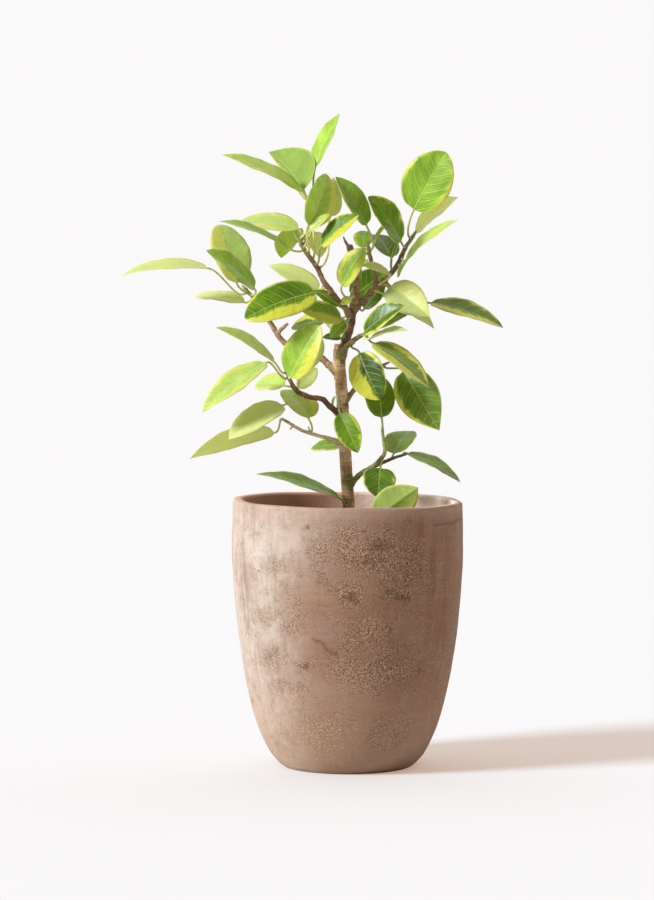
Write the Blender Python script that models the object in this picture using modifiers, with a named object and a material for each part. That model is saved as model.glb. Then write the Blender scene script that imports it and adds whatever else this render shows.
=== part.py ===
"""A potted variegated ficus: a tall egg-shaped clay planter, the soil in it, the woody trunk with
its branches as one grown piece, and each leaf with its stalk as a piece of its own.

The origin is on the pot's axis at the middle of its underside. +Z is up and -Y is the front.
Every size below is in millimetres.
"""

import math

import bmesh
import bpy
from mathutils import Vector

MM = 0.001
CLEARANCE = 0.3

# Planter
POT_HEIGHT = 348.0
POT_RADIUS = 150.5
POT_BASE_RADIUS = 82.5
POT_RIM_RADIUS = 149.9
WALL = 14.0
FLOOR = 16.0
FLOOR_ROUND = 8.0
RIM_ROUND = 4.0
POT_STEPS = 48
# How far the wall has swollen from the base's radius to the belly's, at each share of the height.
POT_SWELL = [
    (0.000, 0.00),
    (0.010, 0.09),
    (0.040, 0.23),
    (0.090, 0.38),
    (0.165, 0.54),
    (0.275, 0.69),
    (0.400, 0.81),
    (0.540, 0.91),
    (0.700, 0.98),
    (0.840, 1.00),
]
DRAIN_RADIUS = 7.0
DRAIN_PITCH_RADIUS = 44.0
DRAIN_COUNT = 4

# Soil
SOIL_BELOW_RIM = 38.0
SOIL_MOUND = 6.0

# Everything that grows is placed from the soil's level, so its heights are above the soil.
SOIL_LEVEL = POT_HEIGHT - SOIL_BELOW_RIM

# Wood: every branch is a list of (x, y, height, radius) along its middle line.
ROOT_RADIUS = 9.0
ROOT_DEPTH = 55.0
ROOT_X = 2.0
WOOD_SIDES = 8
WOOD_STEPS = 3
BRANCHES = {
    "trunk": [
        (ROOT_X, 0, -ROOT_DEPTH, ROOT_RADIUS),
        (ROOT_X, 0, 12, ROOT_RADIUS),
        (1, 0, 35, 8.2),
        (-3, 0, 95, 7.9),
        (-7, 0, 168, 7.8),
        (-11, 0, 215, 8.2),
        (-10, 0, 241, 7.8),
    ],
    "leader": [
        (-9, 0, 218, 6.0),
        (-3, -1, 245, 6.2),
        (4, 2, 268, 5.6),
        (6, 4, 286, 5.2),
        (11, 5, 305, 4.8),
        (10, 5, 324, 4.5),
        (6, 4, 350, 4.3),
        (2, 2, 370, 4.4),
    ],
    "right_upper": [
        (5, 3, 280, 4.6),
        (18, 8, 296, 4.4),
        (30, 14, 306, 4.2),
        (40, 18, 318, 4.0),
        (55, 24, 331, 3.6),
        (66, 28, 345, 3.4),
        (75, 31, 365, 3.0),
        (83, 33, 377, 2.4),
    ],
    "mid_right": [
        (36, 16, 314, 3.0),
        (36, 8, 330, 3.0),
        (31, 3, 346, 2.9),
        (27, 0, 364, 2.6),
    ],
    "upper_left": [
        (4, 2, 272, 4.6),
        (-4, -6, 289, 4.2),
        (-14, -12, 299, 4.0),
        (-24, -19, 313, 3.7),
        (-32, -24, 324, 3.4),
        (-40, -27, 341, 3.2),
        (-55, -31, 362, 2.9),
        (-64, -33, 377, 2.3),
    ],
    "long_left": [
        (-9, 1, 199, 6.2),
        (-24, 6, 213, 4.9),
        (-37, 12, 224, 4.3),
        (-60, 22, 233, 3.9),
        (-84, 29, 243, 3.6),
        (-101, 32, 268, 3.3),
        (-116, 31, 292, 3.0),
        (-131, 28, 309, 2.4),
    ],
    "left": [
        (-6, 0, 146, 4.6),
        (-24, -8, 161, 3.8),
        (-33, -14, 170, 3.5),
        (-49, -20, 173, 3.2),
        (-65, -27, 180, 3.0),
        (-73, -31, 192, 2.8),
        (-79, -34, 206, 2.2),
    ],
    "pale_twig": [
        (-4, 0, 104, 3.6),
        (-20, -6, 117, 2.7),
        (-37, -12, 122, 2.5),
        (-60, -20, 130, 2.3),
        (-78, -27, 141, 2.1),
        (-86, -30, 146, 1.7),
    ],
    "right_twig": [
        (-6, 0, 162, 4.2),
        (8, 5, 181, 3.2),
        (22, 9, 197, 2.8),
        (38, 10, 210, 2.5),
        (47, 9, 214, 2.0),
    ],
    "front_shoot": [
        (-10, -1, 224, 4.6),
        (-3, -12, 237, 3.9),
        (8, -22, 247, 3.4),
        (17, -29, 253, 2.9),
        (25, -34, 257, 2.3),
    ],
    "back_shoot": [
        (9, 4, 294, 4.2),
        (10, 20, 304, 3.5),
        (12, 38, 316, 3.0),
        (16, 56, 333, 2.3),
    ],
    "lower_right": [
        (0, 0, 52, 4.4),
        (15, -7, 71, 3.5),
        (32, -14, 82, 3.2),
        (43, -20, 93, 2.9),
        (48, -24, 103, 2.6),
        (45, -28, 126, 2.0),
    ],
    "side_twig": [
        (30, -13, 81, 2.9),
        (49, -13, 89, 2.4),
        (62, -9, 94, 2.1),
        (73, -5, 97, 1.7),
    ],
}

# Leaves: (branch, share of the way along it, blade base, blade tip, width, tilt, arch, fold).
# Tilt turns the blade about its midrib in degrees: 0 faces up, 90 faces the front and a minus
# shows the front its underside. Arch is the midrib's rise over its chord, as a share of length.
# Fold is how far each half is turned up from flat, in degrees.
LEAVES = [
    ("upper_left", 0.93, (-42, -8, 471), (-11, 10, 540), 36, 5, 0.04, 10),
    ("upper_left", 1.00, (-59, -44, 439), (-161, -62, 486), 44, 25, 0.05, 8),
    ("upper_left", 0.97, (-57, -30, 440), (-103, 50, 491), 72, -90, 0.05, 34),
    ("upper_left", 0.96, (-64, -24, 390), (-140, -4, 401), 42, 30, 0.05, 8),
    ("upper_left", 0.88, (-77, -48, 366), (-164, -74, 401), 42, 18, 0.05, 8),
    ("upper_left", 0.90, (-51, -60, 395), (-27, -36, 461), 50, 85, 0.06, 14),
    ("upper_left", 0.70, (-23, -26, 408), (-19, -2, 457), 34, 70, 0.05, 14),
    ("upper_left", 0.74, (-34, -60, 369), (14, -76, 409), 36, 50, 0.06, 10),
    ("mid_right", 1.00, (24, -6, 395), (-16, -10, 458), 38, 52, 0.05, 16),
    ("right_upper", 0.86, (69, 6, 374), (26, -18, 432), 50, 62, 0.05, 12),
    ("right_upper", 1.00, (86, 20, 415), (127, 8, 490), 68, 88, 0.04, 8),
    ("right_upper", 0.97, (88, 42, 386), (145, 66, 432), 50, -38, 0.04, 8),
    ("right_upper", 0.76, (75, 14, 348), (141, -6, 402), 40, 26, 0.05, 10),
    ("right_upper", 0.64, (57, 46, 353), (37, 90, 383), 38, 0, 0.05, 10),
    ("right_upper", 0.70, (66, 4, 330), (84, -6, 358), 24, 20, 0.05, 14),
    ("long_left", 1.00, (-181, 18, 339), (-293, 2, 331), 38, 20, 0.07, 10),
    ("long_left", 0.92, (-135, 44, 294), (-203, 66, 301), 36, 20, 0.05, 8),
    ("long_left", 0.97, (-145, 38, 319), (-168, 96, 396), 54, 0, 0.05, 10),
    ("long_left", 0.95, (-121, 8, 312), (-183, -12, 363), 50, 38, 0.05, 10),
    ("upper_left", 0.40, (-42, -42, 309), (-132, -72, 276), 54, 54, 0.08, 10),
    ("left", 1.00, (-94, -38, 218), (-170, -58, 265), 44, 23, 0.05, 10),
    ("left", 0.92, (-105, -48, 219), (-187, -88, 157), 46, 22, 0.05, 8),
    ("upper_left", 0.82, (-66, -16, 391), (-87, 34, 353), 36, 0, 0.05, 10),
    ("upper_left", 0.78, (-44, -4, 387), (-36, 32, 353), 28, 0, 0.05, 10),
    ("upper_left", 0.50, (-38, 6, 311), (-103, 30, 343), 36, 30, 0.05, 10),
    ("leader", 0.30, (-8, -20, 274), (-62, -40, 288), 38, 48, 0.05, 8),
    ("leader", 0.22, (-8, 16, 250), (-45, 40, 285), 32, -55, 0.05, 12),
    ("leader", 0.36, (-30, 52, 268), (-74, 78, 260), 34, 40, 0.05, 12),
    ("left", 0.97, (-74, -52, 200), (-36, -66, 267), 54, 75, 0.05, 10),
    ("left", 0.72, (-62, -32, 210), (-34, -18, 250), 32, 65, 0.05, 12),
    ("left", 0.60, (-64, -14, 184), (-40, 2, 210), 22, 50, 0.05, 12),
    ("left", 0.78, (-82, -22, 188), (-120, 12, 188), 34, 40, 0.05, 12),
    ("pale_twig", 0.50, (-51, -30, 146), (-80, 14, 181), 50, 0, 0.05, 10),
    ("left", 0.55, (-83, -46, 164), (-153, -76, 122), 46, 30, 0.05, 10),
    ("pale_twig", 1.00, (-94, -38, 128), (-205, -46, 95), 54, -32, 0.05, 8),
    ("trunk", 0.57, (-6, 26, 107), (-48, 48, 102), 30, 34, 0.05, 10),
    ("trunk", 0.72, (-10, -20, 152), (13, -40, 102), 33, 50, 0.05, 12),
    ("leader", 0.50, (-8, -22, 317), (23, -32, 366), 38, 64, 0.05, 12),
    ("mid_right", 0.90, (20, 4, 366), (20, 34, 388), 26, 0, 0.05, 10),
    ("mid_right", 0.96, (36, 12, 376), (54, 20, 398), 22, -30, 0.05, 12),
    ("right_upper", 0.42, (54, -4, 332), (20, -26, 343), 22, 40, 0.05, 12),
    ("back_shoot", 0.95, (6, 74, 300), (52, 106, 332), 42, 50, 0.05, 10),
    ("front_shoot", 1.00, (21, -50, 257), (71, -74, 293), 38, 55, 0.05, 14),
    ("right_upper", 0.45, (53, -12, 315), (105, -58, 278), 46, 52, 0.06, 10),
    ("right_upper", 0.34, (44, -2, 307), (112, -12, 262), 38, 25, 0.06, 10),
    ("front_shoot", 0.72, (32, -14, 261), (81, -4, 283), 32, 30, 0.05, 12),
    ("front_shoot", 0.92, (28, -54, 250), (75, -82, 262), 26, 20, 0.05, 12),
    ("right_upper", 0.50, (107, 18, 294), (202, -4, 263), 46, 24, 0.06, 8),
    ("front_shoot", 0.97, (32, -46, 244), (103, -84, 189), 42, 22, 0.06, 10),
    ("right_twig", 1.00, (72, -8, 207), (118, -44, 131), 57, 62, 0.05, 10),
    ("front_shoot", 0.40, (15, -42, 231), (41, -62, 172), 50, 75, 0.05, 10),
    ("lower_right", 1.00, (44, -18, 146), (38, 8, 201), 40, 8, 0.05, 10),
    ("side_twig", 1.00, (77, -4, 99), (146, -20, 63), 36, 15, 0.05, 10),
    ("side_twig", 0.60, (60, 2, 98), (80, 50, 125), 44, 0, 0.05, 10),
    ("lower_right", 0.60, (42, -26, 81), (38, -54, 46), 44, 10, 0.05, 10),
    ("trunk", 0.27, (34, -50, 16), (90, -86, 61), 48, -62, 0.05, 8),
    ("trunk", 0.29, (-10, -30, 42), (-118, -52, 76), 40, 20, 0.05, 8),
]
BLADE_THICKNESS = 0.9
EDGE_THICKNESS = 0.6
STALK_RADIUS = 1.3
STALK_STEPS = 5
# Where along a blade it has a ring of points, as shares of the way from the base to the tip.
BLADE_SHARES = [0.00, 0.06, 0.18, 0.32, 0.46, 0.62, 0.78, 0.90, 0.96, 1.00]
WIDEST = 0.45
# Leaves, by number, whose tips are blunter or sharper than their proportions would make them.
BLUNT_LEAVES = (11, 18, 20, 33, 51, 54)
POINTED_LEAVES = (3, 12, 27, 35, 44, 50, 56)


def clear_scene():
    for obj in list(bpy.data.objects):
        bpy.data.objects.remove(obj, do_unlink=True)


def make_collection(name, hidden=False):
    collection = bpy.data.collections.new(name)
    bpy.context.scene.collection.children.link(collection)
    collection.hide_render = hidden
    return collection


def add_object(name, mesh, collection):
    obj = bpy.data.objects.new(name, mesh)
    collection.objects.link(obj)
    return obj


def add_cutter(name, mesh, collection):
    obj = add_object(name, mesh, collection)
    obj.hide_render = True
    obj.display_type = "WIRE"
    return obj


def mesh_from(name, points, faces, edges=()):
    mesh = bpy.data.meshes.new(name)
    mesh.from_pydata([Vector(point) * MM for point in points], edges, faces)
    return mesh


def add_material(obj, name, colour, roughness):
    material = bpy.data.materials.new(name)
    material.use_nodes = True
    shader = material.node_tree.nodes["Principled BSDF"]
    shader.inputs["Base Color"].default_value = (*colour, 1.0)
    shader.inputs["Roughness"].default_value = roughness
    obj.data.materials.append(material)


def turn(name, profile, collection):
    """A solid turned about the Z axis from a profile of (radius, height) that starts and ends on it."""
    points = [(radius, 0, height) for radius, height in profile]
    edges = [(i, i + 1) for i in range(len(points) - 1)]
    obj = add_object(name, mesh_from(name, points, [], edges), collection)
    screw = obj.modifiers.new("turn", "SCREW")
    screw.axis = "Z"
    screw.steps = screw.render_steps = POT_STEPS
    screw.use_merge_vertices = True
    screw.merge_threshold = 0.00001
    screw.use_smooth_shade = False
    return obj


def add_boolean(obj, operation, other):
    modifier = obj.modifiers.new(other.name, "BOOLEAN")
    modifier.operation = operation
    modifier.solver = "EXACT"
    modifier.object = other


def cylinder(name, radius, bottom, top, place, collection):
    shape = bmesh.new()
    bmesh.ops.create_cone(
        shape,
        cap_ends=True,
        segments=24,
        radius1=radius * MM,
        radius2=radius * MM,
        depth=(top - bottom) * MM,
    )
    middle = Vector((place[0], place[1], (bottom + top) / 2)) * MM
    bmesh.ops.translate(shape, vec=middle, verts=shape.verts)
    mesh = bpy.data.meshes.new(name)
    shape.to_mesh(mesh)
    shape.free()
    return add_cutter(name, mesh, collection)


def outer_profile():
    """The outer wall's (radius, height) from the foot to where the rim starts to round over."""
    swell = POT_RADIUS - POT_BASE_RADIUS
    wall = [(POT_BASE_RADIUS + swell * share, POT_HEIGHT * up) for up, share in POT_SWELL]
    return wall + [(POT_RIM_RADIUS, POT_HEIGHT - RIM_ROUND)]


def outer_radius(height):
    profile = outer_profile()
    for (r0, z0), (r1, z1) in zip(profile, profile[1:]):
        if height <= z1:
            return r0 + (r1 - r0) * (height - z0) / (z1 - z0)
    return profile[-1][0]


def inner_profile():
    """The inner wall's (radius, height) from the floor to the rim, level with the outer's rings."""
    inside = [(r - WALL, z) for r, z in outer_profile() if z > FLOOR + FLOOR_ROUND]
    corner = (outer_radius(FLOOR + FLOOR_ROUND) - WALL, FLOOR + FLOOR_ROUND)
    return [(corner[0] - FLOOR_ROUND, FLOOR), corner] + inside


def inner_radius(height):
    profile = inner_profile()
    for (r0, z0), (r1, z1) in zip(profile, profile[1:]):
        if height <= z1:
            return r0 + (r1 - r0) * (height - z0) / (z1 - z0)
    return profile[-1][0]


def make_pot(collection, helpers):
    inner_rim = POT_RIM_RADIUS - WALL
    top = POT_HEIGHT
    profile = [(0, 0)] + outer_profile()
    profile += [
        (POT_RIM_RADIUS - RIM_ROUND * 0.3, top - RIM_ROUND * 0.3),
        (POT_RIM_RADIUS - RIM_ROUND, top),
        (inner_rim + RIM_ROUND, top),
        (inner_rim + RIM_ROUND * 0.3, top - RIM_ROUND * 0.3),
    ]
    profile += list(reversed(inner_profile()))
    profile += [(0, FLOOR)]
    pot = turn("pot", profile, collection)
    for i in range(DRAIN_COUNT):
        angle = math.tau * (i + 0.5) / DRAIN_COUNT
        place = (DRAIN_PITCH_RADIUS * math.cos(angle), DRAIN_PITCH_RADIUS * math.sin(angle))
        drain = cylinder(f"drain_{i + 1}", DRAIN_RADIUS, -5, FLOOR + 5, place, helpers)
        add_boolean(pot, "DIFFERENCE", drain)
    add_material(pot, "clay", (0.45, 0.29, 0.22), 0.85)


def make_soil(collection, helpers):
    bottom = FLOOR + CLEARANCE
    wall = [(r - 2 * CLEARANCE, z) for r, z in inner_profile()[1:] if z < SOIL_LEVEL]
    edge = inner_radius(SOIL_LEVEL) - 2 * CLEARANCE
    profile = [(0, bottom), (inner_radius(FLOOR) - 2 * CLEARANCE, bottom)] + wall
    profile += [
        (edge, SOIL_LEVEL),
        (edge * 0.45, SOIL_LEVEL + SOIL_MOUND * 0.5),
        (edge * 0.20, SOIL_LEVEL + SOIL_MOUND),
        (0, SOIL_LEVEL + SOIL_MOUND),
    ]
    soil = turn("soil", profile, collection)
    hole = cylinder(
        "root_hole",
        ROOT_RADIUS + 2 * CLEARANCE,
        SOIL_LEVEL - ROOT_DEPTH - CLEARANCE,
        POT_HEIGHT,
        (ROOT_X, 0),
        helpers,
    )
    add_boolean(soil, "DIFFERENCE", hole)
    add_material(soil, "earth", (0.06, 0.04, 0.03), 0.95)


def above_soil(place):
    return Vector((place[0], place[1], place[2] + SOIL_LEVEL))


def smooth_path(points, steps):
    """Points along a Catmull-Rom curve through a branch's own, each with its radius last."""
    rows = [Vector((*above_soil(point), point[3])) for point in points]
    ends = [rows[0] * 2 - rows[1]] + rows + [rows[-1] * 2 - rows[-2]]
    path = []
    for i in range(len(rows) - 1):
        a, b, c, d = ends[i : i + 4]
        for step in range(steps):
            t = step / steps
            path.append(
                0.5 * (2 * b + (c - a) * t + (2 * a - 5 * b + 4 * c - d) * t**2
                       + (3 * b - 3 * c + d - a) * t**3)
            )
    return path + [rows[-1]]


def branch_at(name, share):
    """Middle, direction and radius of a branch at a share of the way along its path."""
    path = smooth_path(BRANCHES[name], WOOD_STEPS)
    place = min(max(share, 0.0), 1.0) * (len(path) - 1)
    i = min(int(place), len(path) - 2)
    point = path[i].lerp(path[i + 1], place - i)
    along = (path[i + 1].to_3d() - path[i].to_3d()).normalized()
    return point.to_3d(), along, point[3]


def tube(name, path, collection):
    """A closed tube with a rounded end along a path of (x, y, z, radius)."""
    curve = bpy.data.curves.new(name, "CURVE")
    curve.dimensions = "3D"
    curve.bevel_depth = 1.0 * MM
    curve.bevel_resolution = WOOD_SIDES // 2 - 2
    curve.use_fill_caps = True
    spline = curve.splines.new("POLY")
    spline.points.add(len(path) - 1)
    for point, row in zip(spline.points, path):
        point.co = (*(row.to_3d() * MM), 1.0)
        point.radius = row[3]
    helper = add_object(name + "_curve", curve, collection)
    mesh = bpy.data.meshes.new_from_object(
        helper.evaluated_get(bpy.context.evaluated_depsgraph_get())
    )
    bpy.data.objects.remove(helper, do_unlink=True)
    return mesh


def tapered_path(name):
    """A branch's smoothed path, with its tip drawn in so that it ends in a small bud."""
    path = smooth_path(BRANCHES[name], WOOD_STEPS)
    end = path[-1].copy()
    along = (path[-1].to_3d() - path[-2].to_3d()).normalized()
    for step, share in ((0.5, 0.75), (0.9, 0.35)):
        centre = end.to_3d() + along * end[3] * step
        path.append(Vector((*centre, end[3] * share)))
    return path


def make_wood(collection, helpers):
    wood = add_object(
        "trunk_and_branches", tube("trunk", tapered_path("trunk"), helpers), collection
    )
    for name in list(BRANCHES)[1:]:
        branch = add_cutter(name, tube(name, tapered_path(name), helpers), helpers)
        add_boolean(wood, "UNION", branch)
    add_material(wood, "bark", (0.30, 0.20, 0.13), 0.8)


def leaf_frame(base, tip, tilt):
    """The blade's direction, its sideways direction and the way that its upper face looks."""
    along = (tip - base).normalized()
    up = (Vector((0, 0, 1)) - along * along.z).normalized()
    front = along.cross(up)
    if front.y > 0:
        front.negate()
    angle = math.radians(tilt)
    face = up * math.cos(angle) + front * math.sin(angle)
    return along, along.cross(face).normalized(), face


def bend(start, start_way, end, end_way, t):
    """A point at t on the smooth curve between two ends, given the way it leaves each."""
    return (
        start * (2 * t**3 - 3 * t**2 + 1)
        + start_way * (t**3 - 2 * t**2 + t)
        + end * (3 * t**2 - 2 * t**3)
        + end_way * (t**3 - t**2)
    )


def midline(leaf):
    """The points of the stalk and of the midrib, from the branch's surface to the blade's tip."""
    branch, share, base, tip, _, tilt, arch, _ = leaf
    base, tip = above_soil(base), above_soil(tip)
    _, _, face = leaf_frame(base, tip, tilt)
    chord = tip - base
    middle, along, radius = branch_at(branch, share)
    out = base - middle
    out = (out - along * out.dot(along)).normalized()
    start = middle + out * (radius + CLEARANCE + 0.3)
    reach = (base - start).length
    blade_way = (chord + face * (4 * arch * chord.length)).normalized()
    stalk = [
        bend(start, out * reach * 0.9, base, blade_way * reach * 0.9, i / STALK_STEPS)
        for i in range(STALK_STEPS)
    ]
    midrib = [
        base + chord * s + face * (4 * arch * chord.length * s * (1 - s))
        for s in BLADE_SHARES
    ]
    return stalk, midrib


def tip_power(number, width, length):
    """How fast a blade narrows to its tip: a slender blade tapers and a broad one is round."""
    if number in BLUNT_LEAVES:
        return 0.6
    if number in POINTED_LEAVES:
        return 1.1
    return min(1.1, max(0.66, 1.45 - 1.1 * width / length))


def half_outline(share, power):
    """The blade's half-width, as a share of its widest, at a share of its length."""
    if share < WIDEST:
        return math.sqrt(1 - (1 - share / WIDEST) ** 2)
    return (1 - ((share - WIDEST) / (1 - WIDEST)) ** 2) ** power


def section(middle, side, face, half_width, fold, thickness, edge):
    """Six points round the leaf: the upper edge, ridge and edge, then the same three below."""
    out = side * half_width * math.cos(fold)
    lift = face * half_width * math.sin(fold)
    left, right = middle - out + lift, middle + out + lift
    return [
        left + face * edge / 2,
        middle + face * thickness / 2,
        right + face * edge / 2,
        right - face * edge / 2,
        middle - face * thickness / 2,
        left - face * edge / 2,
    ]


def make_leaf(number, leaf, collection):
    """One leaf lofted from its round stalk to the tip of its folded, arched blade."""
    width, tilt, fold = leaf[4], leaf[5], math.radians(leaf[7])
    base, tip = Vector(leaf[2]), Vector(leaf[3])
    _, side, _ = leaf_frame(base, tip, tilt)
    power = tip_power(number, width, (tip - base).length)
    stalk, midrib = midline(leaf)
    line = stalk + midrib
    points = []
    for i, middle in enumerate(line):
        way = (line[min(i + 1, len(line) - 1)] - line[max(i - 1, 0)]).normalized()
        across = (side - way * side.dot(way)).normalized()
        face = across.cross(way)
        if i < len(stalk):
            points += section(middle, across, face, STALK_RADIUS, 0.0, 2.4, 1.5)
            continue
        half = half_outline(BLADE_SHARES[i - len(stalk)], power)
        half_width = max(half * width / 2, 0.8)
        first = i == len(stalk)
        thickness = 2.0 if first else BLADE_THICKNESS
        points += section(
            middle, across, face, half_width, 0.0 if first else fold, thickness, EDGE_THICKNESS
        )
    rings = len(line)
    faces = []
    for ring in range(rings - 1):
        for k in range(6):
            a, b = ring * 6 + k, ring * 6 + (k + 1) % 6
            faces.append((a, b, b + 6, a + 6))
    faces += [tuple(reversed(range(6))), tuple(range(rings * 6 - 6, rings * 6))]
    name = f"leaf_{number:02d}"
    mesh = mesh_from(name, points, faces)
    shape = bmesh.new()
    shape.from_mesh(mesh)
    bmesh.ops.recalc_face_normals(shape, faces=shape.faces)
    bmesh.ops.triangulate(shape, faces=shape.faces)
    shape.to_mesh(mesh)
    shape.free()
    leaf_object = add_object(name, mesh, collection)
    add_material(leaf_object, name + "_skin", (0.18, 0.42, 0.06), 0.4)


def main():
    clear_scene()
    plant = make_collection("potted_ficus")
    helpers = make_collection("cutters", hidden=True)
    make_pot(plant, helpers)
    make_soil(plant, helpers)
    make_wood(plant, helpers)
    for number, leaf in enumerate(LEAVES, 1):
        make_leaf(number, leaf, plant)


main()
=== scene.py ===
"""The looks of a potted variegated ficus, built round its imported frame.

Each leaf is a lofted blade on its own stalk with veins and a variegated surface, the wood is one
skin with node rings and scars, and the planter is a worn, speckled terracotta jar.
Shapes are written in millimetres and become metres when a mesh is made. -Y is the front.
"""

import math
import random

import bmesh
import bpy
import numpy as np
from mathutils import Matrix, Vector, kdtree, noise


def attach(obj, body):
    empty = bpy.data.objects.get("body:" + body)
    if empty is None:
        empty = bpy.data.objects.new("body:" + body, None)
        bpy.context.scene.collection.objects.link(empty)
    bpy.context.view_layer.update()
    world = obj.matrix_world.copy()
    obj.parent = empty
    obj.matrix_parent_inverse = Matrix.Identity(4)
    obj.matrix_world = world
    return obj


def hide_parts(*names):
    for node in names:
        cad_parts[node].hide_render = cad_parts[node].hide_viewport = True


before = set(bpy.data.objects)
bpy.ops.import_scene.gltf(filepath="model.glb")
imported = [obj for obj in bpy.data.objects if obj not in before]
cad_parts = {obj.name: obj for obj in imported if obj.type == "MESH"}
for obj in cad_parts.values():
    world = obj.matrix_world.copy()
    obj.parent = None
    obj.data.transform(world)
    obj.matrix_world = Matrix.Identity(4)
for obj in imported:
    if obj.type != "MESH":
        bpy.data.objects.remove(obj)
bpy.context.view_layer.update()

MM = 0.001
GAP = 0.6

# Camera
CAMERA_PLACE = (-0.027, -4.800, 0.720)
CAMERA_AIM = (-0.027, 0.0, 0.413)
CAMERA_LENS = 147.7

# Light
KEY_SIDE = 64.0
KEY_HEIGHT = 30.0
KEY_STRENGTH = 4.9
KEY_SPREAD = 15.0
KEY_COLOUR = (0.90, 0.96, 1.0)
AMBIENT_FRONT = (0.38, 0.325, 0.295)
AMBIENT_BACK = (1.35, 1.27, 1.22)
BACKDROP = (0.960, 0.945, 0.945)
STUDIO_RADIUS = 60.0
FLOOR_SEEN = (0.36, 0.46, 0.52)
FLOOR_LIFT = (0.43, 0.275, 0.195)
FLOOR_BOUNCE = (0.76, 0.73, 0.70)

# Planter
POT_HEIGHT = 348.0
POT_RADIUS = 150.5
POT_BASE_RADIUS = 82.5
POT_RIM_RADIUS = 149.9
WALL = 14.0
FLOOR = 16.0
RIM_ROUND = 4.0
POT_SEGMENTS = 360
POT_TILT = 2.0
# How far the wall has swollen from the base radius to the widest, at shares of the height.
POT_SWELL = [
    (0.000, 0.00), (0.010, 0.09), (0.040, 0.23), (0.090, 0.38), (0.165, 0.54), (0.275, 0.69),
    (0.400, 0.81), (0.540, 0.91), (0.700, 0.98), (0.840, 1.00),
]
DRAIN_RADIUS = 7.0
DRAIN_PITCH_RADIUS = 44.0
DRAIN_COUNT = 4
# Eroded patches: (degrees round from the front, height, half-width in degrees, half-height, strength).
WORN = [
    (-39, 272, 9, 9, 0.9), (-15, 289, 5, 26, 0.75), (0, 300, 6, 30, 0.8), (14, 291, 13, 22, 1.15),
    (34, 282, 9, 22, 0.7), (1, 235, 6, 14, 1.0), (24, 237, 8, 9, 1.0), (28, 260, 8, 12, 0.75),
    (-30, 225, 4, 16, 0.7), (-51, 205, 9, 12, 0.8), (-31, 196, 7, 11, 0.7), (10, 190, 9, 22, 0.85),
    (-45, 148, 8, 17, 0.85), (-22, 146, 4, 7, 0.9), (19, 140, 18, 24, 0.75), (-38, 117, 8, 10, 0.7),
    (-20, 54, 19, 24, 0.95), (25, 54, 14, 22, 0.95), (44, 256, 4, 9, 0.7), (-60, 250, 8, 60, 0.4),
]
# Rust spots inside them.
RUST = [
    (15, 300, 6, 8, 1.0), (17, 294, 12, 20, 0.55), (8, 280, 5, 8, 0.8), (17, 283, 5, 6, 0.9),
    (2, 310, 3, 5, 0.9), (2, 234, 3, 10, 1.2), (21, 240, 3, 5, 1.1), (26, 234, 4, 4, 1.1),
    (30, 230, 2, 4, 0.9), (-51, 270, 3, 10, 0.6), (6, 200, 4, 8, 0.7), (13, 178, 4, 8, 0.7),
    (-45, 150, 4, 9, 0.7), (-22, 146, 2, 5, 1.1), (-20, 323, 2, 3, 0.9), (0, 325, 2, 3, 0.8),
    (30, 55, 4, 8, 0.8), (35, 40, 4, 6, 0.8), (-10, 48, 8, 8, 0.5), (41, 142, 2, 12, 0.7),
]
# Grey-mauve bloom.
BLOOM = [
    (-9, 196, 10, 20, 1.0), (28, 200, 9, 16, 0.8), (-8, 112, 12, 28, 0.8), (-13, 268, 12, 14, 0.7),
    (-6, 325, 30, 8, 0.4), (70, 200, 16, 60, 0.5),
]
# Rust-brown runs down the wall.
RUNS = [
    (40, 290, 4, 50, 1.0), (46, 250, 4, 60, 0.8), (36, 310, 2, 20, 0.7), (58, 200, 6, 90, 0.6),
    (52, 110, 6, 50, 0.5), (-66, 230, 6, 60, 0.4),
]
# Hairline cracks: each one's points, as (degrees, height), and its depth.
CRACKS = [
    ([(-18.5, 181), (-13.5, 177), (-11.5, 169), (-9, 164), (-6, 163)], 1.0),
    ([(47, 323), (54, 324), (62, 323), (70, 325), (84, 324)], 0.7),
]
CRACK_WIDTH = 1.5
# pale is painted light: how far the clay is painted paler where the light falls.
CLAY_FIELDS = ("worn", "rust", "bloom", "runs", "crack", "pale", "height", "inside")

# Soil
SOIL_BELOW_RIM = 38.0
SOIL_MOUND = 6.0
SOIL_LEVEL = POT_HEIGHT - SOIL_BELOW_RIM
GRANULES = 900
GRANULE_SIZES = (1.4, 1.8, 2.4, 3.4, 5.0)

# Wood
ROOT_RADIUS = 9.0
ROOT_DEPTH = 55.0
ROOT_X = 2.0
WOOD_SIDES = 20
SCAR_SIDES = 12
WOOD_STEPS = 3
SKIN_STEPS = 16
WOOD_VOXEL = 0.0008
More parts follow.
